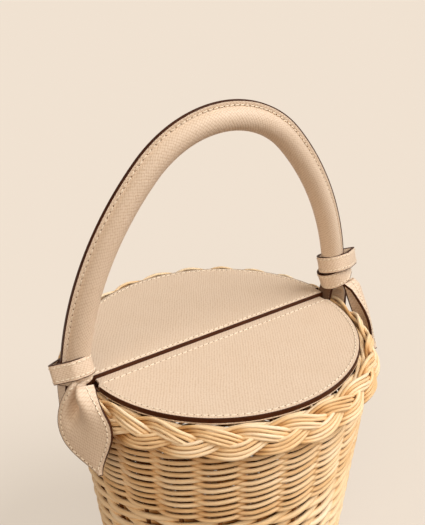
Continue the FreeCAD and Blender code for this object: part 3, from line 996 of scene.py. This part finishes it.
def make_rim_straps():
    """A loop of strap round the border at each end of the seam; it goes up into the knot."""
    corners = np.arange(len(STRAP_ROUTE))
    place = np.linspace(0, corners[-1], STRAP_POINTS)
    route = np.stack([np.interp(place, corners, numbers) for numbers in zip(*STRAP_ROUTE)], axis=1)
    kernel = np.ones(STRAP_SMOOTHING) / STRAP_SMOOTHING
    ends = STRAP_SMOOTHING // 2
    for column in (0, 1):
        route[ends:-ends, column] = np.convolve(route[:, column], kernel, "valid")
    slope = np.gradient(route, axis=0)
    inside = unit(np.stack([-slope[:, 1], slope[:, 0]], axis=1)) * STRAP_T / 2
    front = (0, 1, 0)
    for side, sign in (("left", -1), ("right", 1)):
        def stand(points):
            """Points of the route on this side of the basket."""
            return np.stack([sign * points[:, 0], 0 * points[:, 0], rel(points[:, 1])], axis=1)

        name = "rim_strap_" + side
        shape = Shape()
        sweep(shape, stand(route), front, rounded_bar(STRAP_W / 2, STRAP_T / 2, 0.5))
        obj = shape.build(name + "_leather", LEATHER)
        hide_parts(name)
        hold(obj)
        edges = Shape()
        for end in (-1, 1):
            sweep(edges, stand(route) + np.array([0, end * (STRAP_W / 2 - 0.15), 0]), front,
                  rounded_bar(0.35, STRAP_T / 2 + 0.06, 0.3))
        hold(edges.build(name + "_painted_edges", PAINT))
        # brown lining on the loop's inner face, and on the outer face of the top of the inner run as painted
        # shade
        lining = Shape()
        for back in (stand(route + inside)[2:-2], stand(route - inside)[STRAP_SHADE_STRETCH]):
            sweep(lining, back, front, rounded_bar(STRAP_LINING_HALF_W, 0.2, 0.15))
        hold(lining.build(name + "_lining", SUEDE))


def hold(obj):
    """Bakes a strap piece's place into its mesh; the strap is fast to the basket below and to the handle
    above, but the piece is put on no body.
    """
    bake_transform(obj)


# top: where the leaf leaves the knot; face, rise, lean: turns of its plane in degrees;
# crease: depth of the pinch at its top; fold: how far its sides turn back at the top and how much
# of that is lost towards the point; wrap: how far its top curls round the handle; sides: width of
# its rear and front half; belly: how far its middle stands out
LEAVES = {
    "left": {"sign": -1, "top": (-118.2, -19.2, 9.9), "face": 28.0, "rise": 12.0, "lean": 21.8,
             "length": 54.0, "crease": 12.5, "fold": (1.5, 0.5), "wrap": 4.0, "sides": (0.95, 1.0),
             "belly": 0.0},
    "right": {"sign": 1, "top": (122.5, -15.0, 11.5), "face": 12.0, "rise": 5.0, "lean": 27.0,
              "length": 54.0, "crease": 0.0, "fold": (11.0, 8.5), "wrap": 0.0, "sides": (0.36, 0.64),
              "belly": 1.5},
}
LEAF_PLACES = (-0.05, 0.0, 0.1, 0.2, 0.3, 0.4, 0.5, 0.6, 0.7, 0.8, 0.9, 1.0)
LEAF_HALF_WIDTHS = (7.0, 8.4, 12.0, 15.5, 18.3, 20.0, 19.9, 18.3, 14.8, 9.9, 4.8, 0.5)
LEAF_BOW = -3.2          # sideways curve of its middle line
LEAF_CREASE_AT = -0.48
LEAF_CREASE_SPREAD = (0.16, 0.44)               # steep on the rear side, gentle on the front side
LEAF_CREASE_LENGTH = 0.36
LEAF_LOBE_AT = 0.3       # the leather stands out beside the crease
LEAF_LOBE_SPREAD = 0.35
LEAF_LOBE_HEIGHT = 0.38  # as a share of the crease's depth
LEAF_LOBE_LENGTH = 0.33
LEAF_TOP_SLANT = 0.4     # its top is cut level although it leans
LEAF_TUCK = 4.0          # how far its top turns in under the knot


def leaf_half_width(v):
    """Half width of a leaf end from its pinched top to its point, with its corners rounded off."""
    widths = np.interp(v.ravel(), LEAF_PLACES, LEAF_HALF_WIDTHS)
    padded = np.concatenate([2 * widths[:1] - widths[2:0:-1], widths, 2 * widths[-1:] - widths[-2:-4:-1]])
    return np.convolve(padded, np.ones(5) / 5, "valid").reshape(v.shape).clip(0.4)


def leaf_middle(spec, rows=72, columns=45):
    """Grid of points down and across a leaf end, with its folds, and matching coordinates."""
    sign = spec["sign"]
    face, rise, turn = (math.radians(spec[key]) for key in ("face", "rise", "lean"))
    flat = np.array([sign * math.cos(face), -math.sin(face), 0])
    front = np.array([-sign * math.sin(face), -math.cos(face), 0])
    normal = flat * math.cos(rise) + np.array([0, 0, math.sin(rise)])
    steep = flat * math.sin(rise) - np.array([0, 0, math.cos(rise)])
    down = steep * math.cos(turn) + front * math.sin(turn)
    across = front * math.cos(turn) - steep * math.sin(turn)
    v = np.linspace(LEAF_PLACES[0], 1, rows)[:, None]
    u = np.linspace(-1, 1, columns)[None]
    below = v.clip(0)
    aside = leaf_half_width(v) * u * np.where(u < 0, *spec["sides"])
    spread = np.where(u < LEAF_CREASE_AT, *LEAF_CREASE_SPREAD)
    crease = -np.exp(-((u - LEAF_CREASE_AT) / spread) ** 2 - (below / LEAF_CREASE_LENGTH) ** 4)
    lobe = LEAF_LOBE_HEIGHT * np.exp(-((u - LEAF_LOBE_AT) / LEAF_LOBE_SPREAD) ** 2
                                     - (below / LEAF_LOBE_LENGTH) ** 2)
    fold = -(spec["fold"][0] - spec["fold"][1] * below) * u ** 2
    belly = spec["belly"] * np.sin(math.pi * below)
    tuck = -LEAF_TUCK * ((0.06 - v) / 0.12).clip(0) ** 1.5
    wrap = -spec["wrap"] * u ** 2 * np.exp(-(v / 0.14) ** 2)
    out = spec["crease"] * (crease + lobe) + fold + belly + tuck + wrap
    bow = LEAF_BOW * np.sin(math.pi * below ** 1.2)
    top = np.array([spec["top"][0], spec["top"][1], rel(spec["top"][2])])
    length = spec["length"] * v + LEAF_TOP_SLANT * aside * (1 - below) ** 2
    grid = top + down * length[..., None] + across * (aside + bow)[..., None] + normal * out[..., None]
    return grid, np.stack([length, aside], axis=-1)


def make_leaves():
    for side, spec in LEAVES.items():
        name = "leaf_tail_" + side
        middle, uv = leaf_middle(spec)
        rows, columns = middle.shape[:2]
        normal = unit(np.cross(np.gradient(middle, axis=0), np.gradient(middle, axis=1)))
        normal *= np.sign(normal[30, 22, 0]) * spec["sign"]
        pieces = []
        for part, shift, thickness in (("leather", 0.45, 1.1), ("lining", -0.5, 0.8)):
            shape = Shape()
            slab(shape, middle + normal * shift, thickness, uv, bulge=0.1)
            pieces.append(shape.build("%s_%s" % (name, part), LEATHER))
        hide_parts(name)
        shape = Shape()
        border, border_up = (np.concatenate([grid[:, 0], grid[-1, 1:-1], grid[::-1, -1]])
                             for grid in (middle, normal))
        sweep(shape, border, border_up, rounded_bar(LEAF_T / 2 + 0.1, 0.4, 0.35))
        pieces.append(shape.build(name + "_painted_edge", PAINT))
        seam = Seam()
        half = leaf_half_width(np.linspace(LEAF_PLACES[0], 1, rows))
        row = np.arange(int(rows * LEAF_STITCH_END))
        inset = (LEAF_STITCH_INSET / np.maximum(half, 3.0))[row]
        for end in (-1, 1):
            column = (end * (1 - inset) + 1) / 2 * (columns - 1)
            low = np.clip(column.astype(int), 0, columns - 2)
            share = (column - low)[:, None]
            line = middle[row, low] * (1 - share) + middle[row, low + 1] * share
            up = normal[row, low]
            seam.line(line + up * 1.0, up, FINE_PITCH)
        for piece in pieces + seam.build(name):
            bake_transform(piece)


# ---- CAD nodes that keep their own shape ---------------------------------------------------
def dress():
    """Finishes for the plain inner pieces."""
    for names, material in ((("rear_lid_board", "flap_board"), board),
                            (("rear_lid_lining", "flap_lining"), suede),
                            (("flap_magnet", "catch_plate"), steel),
                            (("handle_core",), filler)):
        for name in names:
            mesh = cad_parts[name].data
            mesh.materials.clear()
            mesh.materials.append(material)


# ---- stage, light and camera ---------------------------------------------------------------
CAMERA_AT = (-0.26068, -0.37621, 0.45589)
CAMERA_TO = (0.0, 0.00464, 0.24398)
CAMERA_ROLL = math.radians(-1.148)
CAMERA_LENS = 50.69
CAMERA_SENSOR = 36.0
FLOOR_HALF = 14.0
FLOOR_GLOW = 0.67        # keeps the shadow on the floor pale
LIGHT_SPREAD = math.radians(50)
LIGHT_TO = Vector((0, 0, 0.15))
KEY_FROM = (0.54, -0.48, 0.70)
KEY_STRENGTH = 2.8
KEY_COLOUR = (1.0, 0.97, 0.935)
FILL_FROM = (-0.60, -0.60, 0.53)
FILL_STRENGTH = 1.15
FILL_COLOUR = (1.0, 0.87, 0.72)
SKY_ABOVE = 0.40
SKY_BELOW = 0.16


def make_stage():
    h = FLOOR_HALF
    mesh = bpy.data.meshes.new("floor")
    mesh.from_pydata([(-h, -h, 0), (h, -h, 0), (h, h, 0), (-h, h, 0)], [], [(0, 1, 2, 3)])
    m = Nodes(bpy.data.materials.new("floor"))
    mesh.materials.append(m.surface(rgb(141, 136, 131), 0.95, 0.0, Emission_Color=rgb(236, 223, 207),
                                    Emission_Strength=FLOOR_GLOW))
    floor = link("floor", mesh)
    floor.visible_diffuse = False


def aim(obj, to, roll=0.0):
    """Points an object's -Z at a place, with +Y up, then rolls it."""
    forward = (Vector(to) - obj.location).normalized()
    right = forward.cross(Vector((0, 0, 1))).normalized()
    up = right.cross(forward)
    right, up = (right * math.cos(roll) + up * math.sin(roll), up * math.cos(roll) - right * math.sin(roll))
    obj.matrix_world = Matrix.Translation(obj.location) @ Matrix((right, up, -forward)).transposed().to_4x4()


def make_light(name, way, energy, colour):
    data = bpy.data.lights.new(name, "SUN")
    data.energy = energy
    data.color = colour
    data.angle = LIGHT_SPREAD
    obj = link(name, data)
    obj.location = LIGHT_TO + 2 * Vector(way)
    aim(obj, LIGHT_TO)


def make_lights():
    """A soft key from the front right, a weak fill from the left and a dome that is warm and dim below."""
    make_light("key", KEY_FROM, KEY_STRENGTH, KEY_COLOUR)
    make_light("fill", FILL_FROM, FILL_STRENGTH, FILL_COLOUR)
    world = bpy.data.worlds.new("studio")
    m = Nodes(world)
    way = m.add("ShaderNodeTexCoord").outputs["Generated"]
    height = m.add("ShaderNodeSeparateXYZ", {0: way}).outputs["Z"]
    below, above = (tuple(strength * c for c in rgb(*colour)[:3]) + (1.0,)
                    for strength, colour in ((SKY_BELOW, (255, 196, 140)), (SKY_ABOVE, (255, 240, 222))))
    dome = m.nodes["Background"]
    m.set(dome.inputs["Color"], m.ramp(height, ((0.0, below), (0.7, above))))
    backdrop = m.add("ShaderNodeBackground", {"Color": rgb(240, 225, 208)})
    seen = m.add("ShaderNodeLightPath").outputs["Is Camera Ray"]
    chosen = m.add("ShaderNodeMixShader", {"Fac": seen, 1: dome.outputs[0], 2: backdrop.outputs[0]})
    m.set(m.nodes["World Output"].inputs["Surface"], chosen.outputs[0])
    bpy.context.scene.world = world


def make_camera():
    data = bpy.data.cameras.new("camera")
    data.sensor_fit = "VERTICAL"
    data.sensor_height = CAMERA_SENSOR
    data.lens = CAMERA_LENS
    data.clip_start = 0.01
    camera = link("camera", data)
    camera.location = CAMERA_AT
    aim(camera, CAMERA_TO, CAMERA_ROLL)
    bpy.context.scene.camera = camera


make_weave("upper_twined_weave", "upper_weave", UPPER_LOW[2], UPPER_HIGH[2] + WEAVE_ABOVE)
make_weave("lower_twined_weave", "lower_weave", LOWER_LOW[2], LOWER_HIGH[2])
make_thick_rows()
make_stakes()
make_border()
make_inner_coil()
make_base()
make_flap()
make_rear_half()
make_mouth_ring()
make_handle()
make_bands()
make_rim_straps()
make_leaves()
dress()
make_stage()
make_lights()
make_camera()
bpy.context.scene.view_settings.view_transform = "Standard"

bpy.context.view_layer.update()
